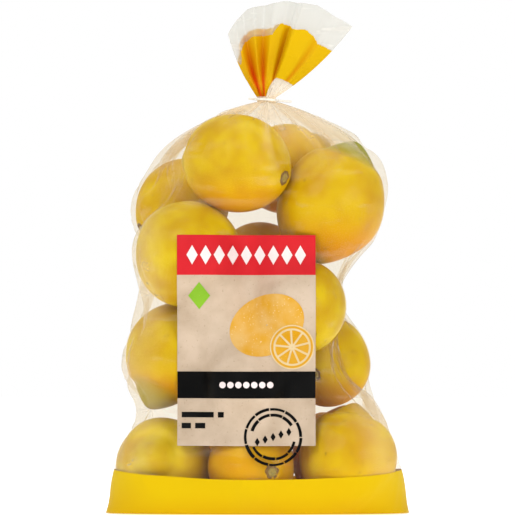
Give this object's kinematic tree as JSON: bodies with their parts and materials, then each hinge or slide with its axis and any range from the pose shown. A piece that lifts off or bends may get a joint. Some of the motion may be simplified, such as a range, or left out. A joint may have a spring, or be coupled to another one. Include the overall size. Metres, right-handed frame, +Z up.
{
  "type": "bag of lemons",
  "caption": "Clear film bag standing upright on its wide sealed foot, filled with whole lemons, gathered by a flat tie under a fanned pleated mouth, with a label panel on its front.",
  "frame": {"origin": "middle of the bag's foot, on the surface it stands on", "axes": "+Z up from the foot to the fanned mouth, +X to the right as the label is read, +Y from the label towards the back"},
  "size_m": [0.182, 0.1194, 0.3066],
  "materials": {
    "film": "gloss",
    "film_print": "gloss",
    "label_print": "satin",
    "label_red": "satin",
    "label_black": "satin",
    "lemon_peel": "satin",
    "lemon_stem": "matte",
    "tie": "satin"
  },
  "bodies": {
    "root": {"bag": "film", "tie": "tie"}
  },
  "joints": []
}
